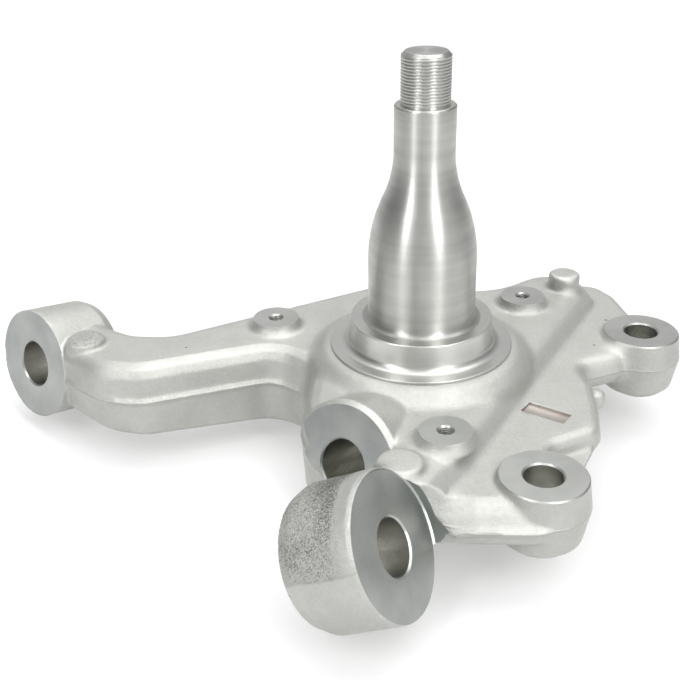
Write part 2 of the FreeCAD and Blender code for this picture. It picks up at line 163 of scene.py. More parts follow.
def turnedMesh(name, profile, segments, thread=None, rings=()):
    # full spin of a (radius, level) profile about +Z, with a helical thread where one is asked for;
    # rings are (low, high, reach, material) bands
    work = bmesh.new()
    verts = [work.verts.new((r * mm, 0, z * mm)) for r, z in profile]
    edges = [work.edges.new(pair) for pair in zip(verts, verts[1:])]
    bmesh.ops.spin(work, geom=verts + edges, cent=(0, 0, 0), axis=(0, 0, 1), angle=2 * math.pi,
                   steps=segments, use_merge=True)
    bmesh.ops.remove_doubles(work, verts=work.verts, dist=1e-7)
    bmesh.ops.recalc_face_normals(work, faces=work.faces)
    if thread:
        for vert in work.verts:
            level = vert.co.z / mm
            radius = math.hypot(vert.co.x, vert.co.y) / mm
            if (thread["from"] <= level <= thread["to"]
                    and radius > thread["crest"] - threadForm["catch"]):
                angle = math.atan2(vert.co.y, vert.co.x)
                wanted = threadRadius(level, angle, thread)
                if thread.get("inside"):
                    wanted = 2 * thread["crest"] - wanted
                else:
                    wanted = min(wanted, radius)
                vert.co.x *= wanted / radius
                vert.co.y *= wanted / radius
    for low, high, reach, index in rings:
        for face in work.faces:
            centre = face.calc_center_median()
            if low <= centre.z / mm <= high and math.hypot(centre.x, centre.y) / mm <= reach:
                face.material_index = index
    mesh = bpy.data.meshes.new(name)
    work.to_mesh(mesh)
    work.free()
    return mesh


def lookMatrix(place, look):
    # +Z of a turned mesh goes along look, its origin to place, both in the frame
    turn = Vector((0, 0, 1)).rotation_difference(Vector(look)).to_matrix().to_4x4()
    return Matrix.Translation(Vector(place) * mm) @ turn


def tidyShading(mesh, degrees):
    mesh.shade_smooth()
    mesh.set_sharp_from_angle(angle=math.radians(degrees))


def socketGroup(name, inputs, outputs):
    tree = bpy.data.node_groups.new(name, "ShaderNodeTree")
    for label, kind, value in inputs:
        socket = tree.interface.new_socket(name=label, in_out="INPUT", socket_type=kind)
        if value is not None:
            socket.default_value = value
    for label, kind in outputs:
        tree.interface.new_socket(name=label, in_out="OUTPUT", socket_type=kind)
    entry = tree.nodes.new("NodeGroupInput")
    leave = tree.nodes.new("NodeGroupOutput")
    return tree, entry, leave


def addMath(tree, operation, first, second=None):
    node = tree.nodes.new("ShaderNodeMath")
    node.operation = operation
    for socket, value in zip(node.inputs, (first, second)):
        if isinstance(value, (int, float)):
            socket.default_value = value
        elif value is not None:
            tree.links.new(value, socket)
    return node.outputs[0]


def addNoise(tree, vector, scale, detail=3.0, roughness=0.5):
    node = tree.nodes.new("ShaderNodeTexNoise")
    node.inputs["Scale"].default_value = scale
    node.inputs["Detail"].default_value = detail
    node.inputs["Roughness"].default_value = roughness
    tree.links.new(vector, node.inputs["Vector"])
    return node.outputs[0]


def addRange(tree, value, low, high, newLow, newHigh):
    node = tree.nodes.new("ShaderNodeMapRange")
    for label, number in (("From Min", low), ("From Max", high),
                          ("To Min", newLow), ("To Max", newHigh)):
        node.inputs[label].default_value = number
    tree.links.new(value, node.inputs["Value"])
    return node.outputs[0]


grainSettings = {
    "fineScale": 1400.0, "coarseScale": 560.0, "coarseShare": 1.0,
    "detail": 4.0, "roughness": 0.6,
    "cloudScale": 38.0, "cloudDetail": 6.0, "cloudRoughness": 0.6,
    # the parts of each noise's range that are stretched to -1 to 1
    "cloudSpan": (0.3, 0.7), "speckSpan": (0.35, 0.65), "dustSpan": (0.32, 0.68),
}


def makeSkinGroup(s):
    # blasted forging skin: how high the grain stands, and how light or dark the metal looks
    tree, entry, leave = socketGroup("skinGrain", [
        ("Vector", "NodeSocketVector", None),
        ("Fine Scale", "NodeSocketFloat", s["fineScale"]),
        ("Coarse Scale", "NodeSocketFloat", s["coarseScale"]),
        ("Coarse Share", "NodeSocketFloat", s["coarseShare"]),
    ], [("Height", "NodeSocketFloat"), ("Tone", "NodeSocketFloat"), ("Speck", "NodeSocketFloat"),
        ("Dust", "NodeSocketFloat")])
    fine = tree.nodes.new("ShaderNodeTexNoise")
    coarse = tree.nodes.new("ShaderNodeTexNoise")
    for node, label in ((fine, "Fine Scale"), (coarse, "Coarse Scale")):
        node.inputs["Detail"].default_value = s["detail"]
        node.inputs["Roughness"].default_value = s["roughness"]
        tree.links.new(entry.outputs["Vector"], node.inputs["Vector"])
        tree.links.new(entry.outputs[label], node.inputs["Scale"])
    share = addMath(tree, "MULTIPLY", coarse.outputs[0], entry.outputs["Coarse Share"])
    tree.links.new(addMath(tree, "ADD", fine.outputs[0], share), leave.inputs["Height"])
    clouds = addNoise(tree, entry.outputs["Vector"], s["cloudScale"], s["cloudDetail"], s["cloudRoughness"])
    tree.links.new(addRange(tree, clouds, *s["cloudSpan"], -1.0, 1.0), leave.inputs["Tone"])
    tree.links.new(addRange(tree, coarse.outputs[0], *s["speckSpan"], -1.0, 1.0), leave.inputs["Speck"])
    tree.links.new(addRange(tree, fine.outputs[0], *s["dustSpan"], -1.0, 1.0), leave.inputs["Dust"])
    return tree


def makeRubHighlightGroup():
    # 1 on outer edges, 0 elsewhere: rubbed wear there together with a painted highlight
    tree, entry, leave = socketGroup("edgeRubAndHighlight", [
        ("Low", "NodeSocketFloat", 0.5),
        ("High", "NodeSocketFloat", 0.6),
    ], [("RubAndHighlight", "NodeSocketFloat")])
    geometry = tree.nodes.new("ShaderNodeNewGeometry")
    ranged = tree.nodes.new("ShaderNodeMapRange")
    tree.links.new(geometry.outputs["Pointiness"], ranged.inputs["Value"])
    tree.links.new(entry.outputs["Low"], ranged.inputs["From Min"])
    tree.links.new(entry.outputs["High"], ranged.inputs["From Max"])
    tree.links.new(ranged.outputs[0], leave.inputs["RubAndHighlight"])
    return tree


skinGroup = makeSkinGroup(grainSettings)
rubHighlightGroup = makeRubHighlightGroup()


def newMaterial(name, metallic, roughness):
    material = bpy.data.materials.new(name)
    material.use_nodes = True
    tree = material.node_tree
    shader = tree.nodes["Principled BSDF"]
    shader.inputs["Metallic"].default_value = metallic
    shader.inputs["Roughness"].default_value = roughness
    place = tree.nodes.new("ShaderNodeTexCoord")
    return material, tree, shader, place.outputs["Object"]


def toneRamp(tree, value, stops):
    ramp = tree.nodes.new("ShaderNodeValToRGB")
    ramp.color_ramp.elements[0].position = stops[0][0]
    ramp.color_ramp.elements[0].color = (*stops[0][1], 1)
    ramp.color_ramp.elements[1].position = stops[-1][0]
    ramp.color_ramp.elements[1].color = (*stops[-1][1], 1)
    for place, tone in stops[1:-1]:
        ramp.color_ramp.elements.new(place).color = (*tone, 1)
    tree.links.new(value, ramp.inputs["Fac"])
    return ramp.outputs["Color"]


def addBump(tree, shader, height, strength, distance):
    bump = tree.nodes.new("ShaderNodeBump")
    bump.inputs["Strength"].default_value = strength
    bump.inputs["Distance"].default_value = distance
    tree.links.new(height, bump.inputs["Height"])
    tree.links.new(bump.outputs["Normal"], shader.inputs["Normal"])


# the forged skin; places and lengths are in metres, as the shader's Object coordinates are
skinSettings = {
    "metallic": 0.92, "roughness": 0.54, "glossShift": 0.05, "glossSpan": 1.2,
    "deep": (0.15, 0.15, 0.14), "dark": (0.46, 0.463, 0.44), "light": (0.57, 0.572, 0.545),
    "toneSpan": (-3.6, 1.6), "darkStop": 0.385,
    "speckShare": 0.4, "dustShare": 1.6,
    # painted highlight with rub wear: outer edges are mixed towards this lighter colour
    "edge": (0.66, 0.663, 0.632), "rubHighlightSpan": (0.505, 0.56), "rubHighlightShare": 0.7,
    # painted shade: how much darker the walls and undersides are painted, and the slopes over which that
    # sets in
    "sideTone": 0.91, "paintedWallShadeSpan": (0.1, 0.75),
    "bump": 0.6, "bumpDepth": 0.0003,
    # the large boss is rougher above its seam, and painted darker there: middle, reach, end face, and the
    # way down from the seam
    "roughPlace": (-0.0257, -0.1432, -0.0434), "roughReach": (0.040, 0.046),
    "bossFace": (-0.0088, -0.1486, -0.0341), "bossLook": (0.843, -0.272, 0.463),
    "seamDown": (0.330, -0.414, -0.844), "seamOut": (-0.42, -0.866, 0.26),
    "seamNoise": 90.0, "seamWander": 0.0008, "seamHalf": (0.0002, 0.0011),
    "seamStart": (0.018, 0.022), "seamShadeShare": 0.5,
    "roughStart": 0.001, "roughBack": (-0.010, -0.004), "roughLeast": 0.08, "roughHeight": 6.0,
    # painted shade on the rough skin: distances above the seam, and how much darker it is painted there
    "shadeDown": (-0.030, -0.002), "shade": (2.7, 1.3),
    "studPlace": (-0.1815, 0.0015, -0.018), "studReach": (0.009, 0.012), "studRough": 0.55,
    "pits": [(-0.157, -0.0112, -0.036), (0.0955, 0.030, -0.0315), (0.1065, 0.0615, -0.0315),
             (-0.0008, -0.0780, -0.0195), (0.0002, -0.0833, -0.0205), (0.0021, -0.0875, -0.0215),
             (-0.0505, -0.166, -0.047), (-0.042, -0.166, -0.056), (-0.126, 0.0, -0.0225)],
    # painted shade: pits and the seam's groove are painted dark as well as pressed in
    "pitSize": 0.0011, "pitAndSeamShade": 3.2, "pitHeight": 2.0,
    # the ridge where the dies met: its level and half width, its height and the walls that have it
    "flashLevel": -0.0416, "flashHalf": 0.0008, "flashRise": 1.9, "flashSlopes": (0.55, 0.8),
}


def addDistance(tree, place, centre):
    node = tree.nodes.new("ShaderNodeVectorMath")
    node.operation = "DISTANCE"
    tree.links.new(place, node.inputs[0])
    node.inputs[1].default_value = centre
    return node.outputs["Value"]


def addAlong(tree, place, start, heading):
    gap = tree.nodes.new("ShaderNodeVectorMath")
    gap.operation = "SUBTRACT"
    tree.links.new(place, gap.inputs[0])
    gap.inputs[1].default_value = start
    weigh = tree.nodes.new("ShaderNodeVectorMath")
    weigh.operation = "DOT_PRODUCT"
    tree.links.new(gap.outputs["Vector"], weigh.inputs[0])
    weigh.inputs[1].default_value = heading
    return weigh.outputs["Value"]


def makeSkin(s):
    material, tree, shader, place = newMaterial("forgedSkin", s["metallic"], s["roughness"])
    grain = tree.nodes.new("ShaderNodeGroup")
    grain.node_tree = skinGroup
    tree.links.new(place, grain.inputs["Vector"])
    edge = tree.nodes.new("ShaderNodeGroup")
    edge.node_tree = rubHighlightGroup
    for label, value in zip(("Low", "High"), s["rubHighlightSpan"]):
        edge.inputs[label].default_value = value

    # 1 on the large boss, and where a point lies from its seam
    boss = addRange(tree, addDistance(tree, place, s["roughPlace"]), *s["roughReach"], 1.0, 0.0)
    below = addAlong(tree, place, s["bossFace"], s["seamDown"])
    out = addAlong(tree, place, s["bossFace"], s["seamOut"])
    back = addAlong(tree, place, s["bossFace"], s["bossLook"])
    wander = addRange(tree, addNoise(tree, place, s["seamNoise"]), 0.3, 0.7, -1.0, 1.0)
    below = addMath(tree, "ADD", below, addMath(tree, "MULTIPLY", wander, s["seamWander"]))
    rough = addMath(tree, "MULTIPLY", boss, addRange(tree, below, -s["roughStart"], 0.0, 1.0, 0.0))
    rough = addMath(tree, "MULTIPLY", rough, addRange(tree, back, *s["roughBack"], 1.0, s["roughLeast"]))
    seam = addRange(tree, addMath(tree, "ABSOLUTE", below), *s["seamHalf"], 1.0, 0.0)
    seam = addMath(tree, "MULTIPLY", seam, boss)
    seam = addMath(tree, "MULTIPLY", seam, addRange(tree, out, *s["seamStart"], 0.0, 1.0))
    stud = addDistance(tree, place, s["studPlace"])
    rough = addMath(tree, "MAXIMUM", rough, addRange(tree, stud, *s["studReach"], s["studRough"], 0.0))
    pits = None
    for pit in s["pits"]:
        spot = addRange(tree, addDistance(tree, place, pit), s["pitSize"] * 0.5, s["pitSize"], 1.0, 0.0)
        pits = spot if pits is None else addMath(tree, "MAXIMUM", pits, spot)

    # soft clouds everywhere, specks mostly on the rough boss
    speck = addMath(tree, "MULTIPLY", grain.outputs["Speck"], s["speckShare"])
    dust = addMath(tree, "MULTIPLY", grain.outputs["Dust"],
                   addMath(tree, "MULTIPLY", rough, s["dustShare"]))
    tone = addMath(tree, "ADD", grain.outputs["Tone"], addMath(tree, "ADD", speck, dust))
    # the rough skin is painted darker, partly its own tone and partly painted shade that deepens away from
    # the seam
    shade = addRange(tree, below, *s["shadeDown"], *s["shade"])
    tone = addMath(tree, "SUBTRACT", tone, addMath(tree, "MULTIPLY", rough, shade))
    # painted shade in the pits and along the seam's groove
    low = addMath(tree, "MAXIMUM", pits, addMath(tree, "MULTIPLY", seam, s["seamShadeShare"]))
    tone = addMath(tree, "SUBTRACT", tone, addMath(tree, "MULTIPLY", low, s["pitAndSeamShade"]))
    base = toneRamp(tree, addRange(tree, tone, *s["toneSpan"], 0.0, 1.0),
                    [(0.0, s["deep"]), (s["darkStop"], s["dark"]), (1.0, s["light"])])
    # outer edges lightened: rubbed wear and a painted highlight
    mix = tree.nodes.new("ShaderNodeMix")
    mix.data_type = "RGBA"
    tree.links.new(addMath(tree, "MULTIPLY", edge.outputs["RubAndHighlight"], s["rubHighlightShare"]), mix.inputs["Factor"])
    tree.links.new(base, mix.inputs["A"])
    mix.inputs["B"].default_value = (*s["edge"], 1)
    geometry = tree.nodes.new("ShaderNodeNewGeometry")
    facing = tree.nodes.new("ShaderNodeSeparateXYZ")
    tree.links.new(geometry.outputs["True Normal"], facing.inputs[0])
    # painted shade: walls and undersides get a darker colour, by how far the true normal turns from up
    wallShaded = tree.nodes.new("ShaderNodeVectorMath")
    wallShaded.operation = "SCALE"
    tree.links.new(mix.outputs["Result"], wallShaded.inputs[0])
    tree.links.new(addRange(tree, facing.outputs["Z"], *s["paintedWallShadeSpan"], s["sideTone"], 1.0),
                   wallShaded.inputs["Scale"])
    tree.links.new(wallShaded.outputs["Vector"], shader.inputs["Base Color"])
    tree.links.new(addRange(tree, tone, -s["glossSpan"], s["glossSpan"],
                            s["roughness"] + s["glossShift"], s["roughness"] - s["glossShift"]),
                   shader.inputs["Roughness"])

    # a thin ridge where the dies met, only on upright walls
    level = tree.nodes.new("ShaderNodeSeparateXYZ")
    tree.links.new(place, level.inputs[0])
    off = addMath(tree, "ABSOLUTE", addMath(tree, "SUBTRACT", level.outputs["Z"], s["flashLevel"]))
    ridge = addRange(tree, off, 0.0, s["flashHalf"], s["flashRise"], 0.0)
    upright = addRange(tree, addMath(tree, "ABSOLUTE", facing.outputs["Z"]), *s["flashSlopes"], 1.0, 0.0)
    upright = addMath(tree, "MULTIPLY", upright, addMath(tree, "SUBTRACT", 1.0, boss))
    ridge = addMath(tree, "MULTIPLY", ridge, upright)
    height = addMath(tree, "SUBTRACT", grain.outputs["Height"], 1.0)
    height = addMath(tree, "MULTIPLY", height, addRange(tree, rough, 0.0, 1.0, 1.0, s["roughHeight"]))
    height = addMath(tree, "SUBTRACT", height, addMath(tree, "MULTIPLY", low, s["pitHeight"]))
    addBump(tree, shader, addMath(tree, "ADD", height, ridge), s["bump"], s["bumpDepth"])
    return material


turnedSettings = {
    "name": "turnedSteel", "roughness": 0.40, "anisotropy": 0.82,
    "dark": (0.41, 0.415, 0.395), "light": (0.53, 0.535, 0.51),
    # noise is squashed in plan, so that it runs in circles
    "squash": 0.02, "lineScale": 2600.0, "bump": 0.12, "bumpDepth": 0.00004,
    "bandScale": 160.0, "bandShare": 0.6, "smearScale": 60.0, "smearShare": 0.4,
    "stops": (0.35, 0.65), "glossSpan": (0.3, 0.7), "glossShift": 0.05,
}


def makeTurned(s):
    # tool lines run round the axis, and the gloss is drawn out across them
    material, tree, shader, place = newMaterial(s["name"], 1.0, s["roughness"])
    flat = tree.nodes.new("ShaderNodeMapping")
    flat.inputs["Scale"].default_value = (s["squash"], s["squash"], 1.0)
    tree.links.new(place, flat.inputs["Vector"])
    lines = addNoise(tree, flat.outputs[0], s["lineScale"], 3.0, 0.6)
    bands = addNoise(tree, flat.outputs[0], s["bandScale"], 2.0)
    smears = addNoise(tree, place, s["smearScale"], 4.0)
    tone = addMath(tree, "ADD", addMath(tree, "MULTIPLY", bands, s["bandShare"]),
                   addMath(tree, "MULTIPLY", smears, s["smearShare"]))
    base = toneRamp(tree, tone, [(s["stops"][0], s["dark"]), (s["stops"][1], s["light"])])
    tree.links.new(base, shader.inputs["Base Color"])
    tree.links.new(addRange(tree, tone, *s["glossSpan"],
                            s["roughness"] + s["glossShift"], s["roughness"] - s["glossShift"]),
                   shader.inputs["Roughness"])
    if s["anisotropy"]:
        shader.inputs["Anisotropic"].default_value = s["anisotropy"]
        shader.inputs["Anisotropic Rotation"].default_value = 0.25
        around = tree.nodes.new("ShaderNodeTangent")
        around.direction_type = "RADIAL"
        around.axis = "Z"
        tree.links.new(around.outputs["Tangent"], shader.inputs["Tangent"])
    addBump(tree, shader, lines, s["bump"], s["bumpDepth"])
    return material


milledSettings = {
    "name": "milledFace", "roughness": 0.34,
    # painted shade: the eye faces, which look sideways, get a darker steel than the pads that face up
    "dark": (0.33, 0.345, 0.335), "light": (0.41, 0.425, 0.41),
    "ringScale": 420.0, "distortion": 2.0, "detail": 2.0, "cloudScale": 55.0,
    "stops": (0.35, 0.65), "bump": 0.05, "bumpDepth": 0.00004,
}


def makeMilled(s):
    # faint cutter rings under soft clouds
    material, tree, shader, place = newMaterial(s["name"], 1.0, s["roughness"])
    waves = tree.nodes.new("ShaderNodeTexWave")
    waves.wave_type = "RINGS"
    waves.rings_direction = "SPHERICAL"
    waves.inputs["Scale"].default_value = s["ringScale"]
    waves.inputs["Distortion"].default_value = s["distortion"]
    waves.inputs["Detail"].default_value = s["detail"]
    tree.links.new(place, waves.inputs["Vector"])
    clouds = addNoise(tree, place, s["cloudScale"], 4.0)
    base = toneRamp(tree, clouds, [(s["stops"][0], s["dark"]), (s["stops"][1], s["light"])])
    tree.links.new(base, shader.inputs["Base Color"])
    addBump(tree, shader, waves.outputs["Fac"], s["bump"], s["bumpDepth"])
    return material


skin = makeSkin(skinSettings)
turned = makeTurned(turnedSettings)
# faced steel: its own facing finish, and a lighter colour that is painted light
faced = makeTurned({**turnedSettings, "name": "facedSteel", "roughness": 0.36, "anisotropy": 0.3,
                    "dark": (0.50, 0.505, 0.485), "light": (0.60, 0.605, 0.58), "bump": 0.05})
threaded = makeTurned({**turnedSettings, "name": "threadSteel", "roughness": 0.34, "anisotropy": 0.5,
                       "lineScale": 5000.0, "bump": 0.05})
milled = makeMilled(milledSettings)
facing = makeMilled({**milledSettings, "name": "facedPad", "roughness": 0.42,
                     "dark": (0.43, 0.437, 0.42), "light": (0.50, 0.508, 0.49)})
recessed = makeMilled({**milledSettings, "name": "recessFloor", "roughness": 0.5,
                       "dark": (0.40, 0.36, 0.335), "light": (0.48, 0.445, 0.415)})
# painted light: the bore walls get a lighter steel than the turned steel, so the bores read bright
bored = makeTurned({**turnedSettings, "name": "boreWall", "roughness": 0.3, "anisotropy": 0.0,
                    "dark": (0.50, 0.50, 0.47), "light": (0.66, 0.66, 0.62),
                    "lineScale": 1500.0, "bump": 0.2})
print("materials made")


# the spindle with its seats, collar and wheel nut thread: levels and radii along its axis
spindleSettings = {
    "segments": 160,
    "tip": 135.6, "tipBevel": 1.8, "tipFlat": 0.6,
    "threadFoot": 110.9, "threadRadius": 12.0, "pitch": 1.5, "rowsPerTurn": 12,
    "threadDepth": 0.46, "threadFrom": 0.4, "threadTo": 0.2, "threadFade": 1.2,
    "seatBevel": 0.8, "seatRound": 0.3,
    "outerSeat": 15.0, "outerFoot": 88.0, "waist": (20.0, 65.0), "hollow": -56.0, "crown": 78.0,
    "hollowSteps": 20, "crownSteps": 24, "filletSteps": 8,
    "innerSeat": 27.5, "innerTop": 31.7, "footFillet": 3.2,
    "collar": 36.5, "collarFoot": 37.7, "collarRound": 0.6, "collarFillet": 4.2,
    "disc": 47.4, "discLevel": -14.0, "discRound": 0.5, "root": -19.0,
    "weight": 80, "sharpFrom": 40,
}


def buildSpindle(s):
    bevelFoot = s["threadRadius"] - s["tipBevel"]
    height = s["tip"] - s["threadFoot"]
    count = int(height / (s["pitch"] / s["rowsPerTurn"]))
    tip = [(0.0, s["tip"]), (bevelFoot - s["tipFlat"], s["tip"]), (bevelFoot, s["tip"])]
    for i in range(count + 1):
        level = s["tip"] - height * i / count
        tip.append((min(s["threadRadius"], bevelFoot + (s["tip"] - level)), level))
    seat = roundedProfile([
        (s["threadRadius"], s["threadFoot"]),
        (s["outerSeat"] - s["seatBevel"], s["threadFoot"], s["seatRound"]),
        (s["outerSeat"], s["threadFoot"] - s["seatBevel"], s["seatRound"]),
        (s["outerSeat"], s["outerFoot"]),
    ])[1:]
    sweep = arcPoints((s["outerSeat"], s["outerFoot"]), s["waist"], s["hollow"], s["hollowSteps"])
    sweep += arcPoints(s["waist"], (s["innerSeat"], s["innerTop"]), s["crown"], s["crownSteps"])
    shoulder = (s["innerSeat"] + s["footFillet"], 0.0)
    foot = [(s["innerSeat"], s["footFillet"])]
    foot += arcPoints(foot[0], shoulder, -s["footFillet"], s["filletSteps"])
    collarFoot = (s["collarFoot"], s["discLevel"] + s["collarFillet"])
    collar = roundedProfile([shoulder, (s["collar"], 0.0, s["collarRound"]), collarFoot])[1:]
    disc = (s["collarFoot"] + s["collarFillet"], s["discLevel"])
    fillet = arcPoints(collarFoot, disc, -s["collarFillet"], s["filletSteps"])
    rim = roundedProfile([
        disc,
        (s["disc"], s["discLevel"], s["discRound"]),
        (s["disc"], s["root"]),
        (0.0, s["root"]),
    ])[1:]
    profile = tip + seat + sweep + foot + collar + fillet + rim
    thread = {"pitch": s["pitch"], "depth": s["threadDepth"], "crest": s["threadRadius"],
              "from": s["threadFoot"] + s["threadFrom"], "to": s["tip"] - s["threadTo"],
              "fade": s["threadFade"]}
    mesh = turnedMesh("spindle", profile, s["segments"], thread,
                      [(s["threadFoot"] + 0.05, s["tip"] + 1, s["threadRadius"] + 1, 1)])
    piece = addPiece("wheelSpindle", mesh, [turned, threaded, faced])
    # the ring at the thread's foot and all from the bearing shoulder down are faced, not turned; the faced
    # steel is painted lighter, painted light on these rings
    for face in mesh.polygons:
        level = face.center.z / mm
        flat = abs(face.normal.z) > 0.7
        if level < 0.01 or (flat and abs(level - s["threadFoot"]) < 0.3):
            face.material_index = 2
    weighted = piece.modifiers.new("weighted", "WEIGHTED_NORMAL")
    weighted.weight = s["weight"]
    tidyShading(mesh, s["sharpFrom"])
    settle(piece)
    return piece


spindle = buildSpindle(spindleSettings)
print("spindle made")


# what the mills and drills take off the forging; headings and rises are in degrees
cutSettings = {
    "eyes": {
        "arm": {"face": (-216.7, 12.6, -41.6), "heading": -128.1, "rise": 10.1, "radius": 30.4,
                "plug": 41.0, "depth": 50.0, "reach": 14.0, "spot": 0.6},
        "joint": {"face": (-35.9, -79.5, -41.6), "heading": -124.5, "rise": 17.5, "radius": 31.6,
                  "plug": 48.5, "depth": 48.0, "reach": 7.0, "spot": 0.3},
        "front": {"face": (-8.8, -148.6, -34.1), "heading": -17.9, "rise": 27.6, "radius": 32.7,
                  "plug": 40.5, "depth": 50.0, "reach": 45.0, "spot": 0.2},
    },
    "eyeBore": 12.5, "bevel": 0.8,
    "lugs": [(122.3, 41.0), (55.6, -103.0)],
    "lugFace": -27.6, "lugFloor": -61.5, "lugRadius": 20.5, "lugBore": 9.05,
    "lugEdge": 1.1, "lugSpot": 0.5, "lugReach": 6.0, "lugPast": 8.0,
    "taps": {"circle": 85.3, "angles": (160.8, 47.2, -81.7), "face": -17.2, "boss": 12.5,
             "drill": 3.4, "wall": 4.1, "depth": 20.0, "tip": 1.8, "mouth": 0.9, "spot": 0.6, "reach": 3.5,
             "pitch": 1.25, "rowsPerTurn": 8, "threadDepth": 0.6, "threadFrom": 1.0, "threadTo": 0.7,
             "threadFade": 1.0, "segments": 48},
    "recess": {"centre": (62.5, -43.5), "size": (22.8, 9.8, 6.0), "turn": -30.0, "floor": -33.1,
               "round": 0.5},
    "segments": 96,
    # how far past its radius a face's middle may lie and still be a bore's wall
    "slack": 0.05,
}
upwards = Vector((0, 0, 1))


def eyeLook(eye):
    heading = math.radians(eye["heading"])
    rise = math.radians(eye["rise"])
    return Vector((math.cos(rise) * math.cos(heading), math.cos(rise) * math.sin(heading), math.sin(rise)))


def tapPlace(taps, angle):
    turn = math.radians(angle)
    return Vector((taps["circle"] * math.cos(turn), taps["circle"] * math.sin(turn), taps["face"]))


def buildCutters(s):
    cutters = []

    def addCutter(name, profile, place, look, bore, finish, segments, thread=None):
        mesh = turnedMesh(name, profile, segments, thread)
        mesh.materials.append(finish)
        mesh.materials.append(bored)
        for face in mesh.polygons:
            radius = math.hypot(face.center.x, face.center.y) / mm
            if radius < bore + s["slack"] and face.center.z / mm < -s["bevel"]:
                face.material_index = 1
        mesh.transform(lookMatrix(place, look))
        cutters.append(addPiece(name, mesh))

    def boreProfile(bore, depth, rim):
        return [(0.0, -depth), (bore, -depth), (bore, -s["bevel"]), (bore + s["bevel"], 0.0)] + rim

    for name, eye in s["eyes"].items():
        spot = eye["radius"] + eye["spot"]
        rim = [(spot - s["bevel"], 0.0), (spot, s["bevel"]), (spot, eye["reach"]), (0.0, eye["reach"])]
        addCutter(name + "Cut", boreProfile(s["eyeBore"], eye["depth"], rim),
                  eye["face"], eyeLook(eye), s["eyeBore"], milled, s["segments"])

    spot = s["lugRadius"] + s["lugSpot"]
    rim = [(spot - s["lugEdge"], 0.0), (spot, -s["lugEdge"]), (spot, s["lugReach"]), (0.0, s["lugReach"])]
    depth = s["lugFace"] - s["lugFloor"] + s["lugPast"]
    for number, (x, y) in enumerate(s["lugs"]):
        addCutter("lugCut%d" % number, boreProfile(s["lugBore"], depth, rim),
                  (x, y, s["lugFace"]), upwards, s["lugBore"], facing, s["segments"])

    t = s["taps"]
    step = t["pitch"] / t["rowsPerTurn"]
    count = int((t["depth"] - t["mouth"]) / step)
    spot = t["boss"] + t["spot"]
    profile = [(0.0, -t["depth"] - t["tip"])]
    profile += [(t["drill"], -t["depth"] + step * i) for i in range(count + 1)]
    profile += [(t["drill"] + t["mouth"], 0.0), (spot, 0.0), (spot, t["reach"]), (0.0, t["reach"])]
    thread = {"pitch": t["pitch"], "depth": t["threadDepth"], "crest": t["drill"], "inside": True,
              "from": t["threadFrom"] - t["depth"], "to": -t["threadTo"], "fade": t["threadFade"]}
    for number, angle in enumerate(t["angles"]):
        addCutter("tapCut%d" % number, profile, tapPlace(t, angle), upwards,
                  t["wall"], facing, t["segments"], thread)

    r = s["recess"]
    mesh = bpy.data.meshes.new("recess")
    work = bmesh.new()
    bmesh.ops.create_cube(work, size=1.0)
    bmesh.ops.scale(work, verts=work.verts, vec=Vector(r["size"]) * mm)
    bmesh.ops.bevel(work, geom=work.edges, offset=r["round"] * mm, offset_type="OFFSET", segments=2,
                    profile=0.5, affect="EDGES", material=-1)
    bmesh.ops.rotate(work, verts=work.verts, matrix=Matrix.Rotation(math.radians(r["turn"]), 3, "Z"))
    centre = Vector((*r["centre"], r["floor"] + r["size"][2] / 2))
    bmesh.ops.translate(work, verts=work.verts, vec=centre * mm)
    work.to_mesh(mesh)
    work.free()
    mesh.materials.append(recessed)
    cutters.append(addPiece("recessCut", mesh))
    return cutters


# the forging: a blank from the frame's own shape, softened, then cut
forgingSettings = {
    "voxel": 0.9, "quickVoxel": 1.6, "quickRounds": 0.35,
    "weld": 2e-6, "stock": 2.0,
    "plugOver": 1.4, "tapPlug": 5.0, "plugSegments": 48,
    "rounds": 7, "keep": 0.10,
    "trianglesWanted": 163000,
    # the pad under the spindle: all of the frame's shape above its level is taken off out to its radius
    "padLevel": -15.2, "padRadius": 52.0, "padTop": 150.0, "padSegments": 96,
    # where the dies' hollows are wider: a line, a ring and spots on the plan, each with its reach
    "softRounds": 34, "softKeep": 0.75, "softReach": 11.0,
    "crest": [(84, 76), (80.3, 68.3), (68, 29.3), (54.5, -5.8), (42.5, -32.5), (31.5, -57.1), (21.2, -84.1),
              (14.1, -104.8)],
    "crestShift": (5.5, -2.2),
    "softRing": (53.0, 9.0),
    "spotRounds": 90,
    "softSpots": [((99.0, 4.0), 22.0), ((103.0, 18.0), 18.0), ((-177.0, -25.0), 17.0)],
    # beside the front boss: how high the skin may stand over its face, how fast that grows outwards,
    # the X over which this fades out, and how far from the boss's axis it reaches
    "rimRise": 4.0, "rimSlope": 1.4, "rimReach": (14.0, 26.0), "rimSpan": 52.0,
    "sharpFrom": 38,
}


def subtract(piece, cutter):
    cut = piece.modifiers.new("cut", "BOOLEAN")
    cut.operation = "DIFFERENCE"
    cut.solver = "MANIFOLD"
    cut.object = cutter
    settle(piece)
    bpy.data.objects.remove(cutter)


def machinedFaces(cuts):
    # centre, direction and reach of each face that is cut flat
    taps = cuts["taps"]
    faces = [(Vector(eye["face"]), eyeLook(eye), eye["radius"] + 1) for eye in cuts["eyes"].values()]
    faces += [(Vector((x, y, cuts["lugFace"])), upwards, cuts["lugRadius"] + 1) for x, y in cuts["lugs"]]
    return faces + [(tapPlace(taps, angle), upwards, taps["boss"] + 1) for angle in taps["angles"]]


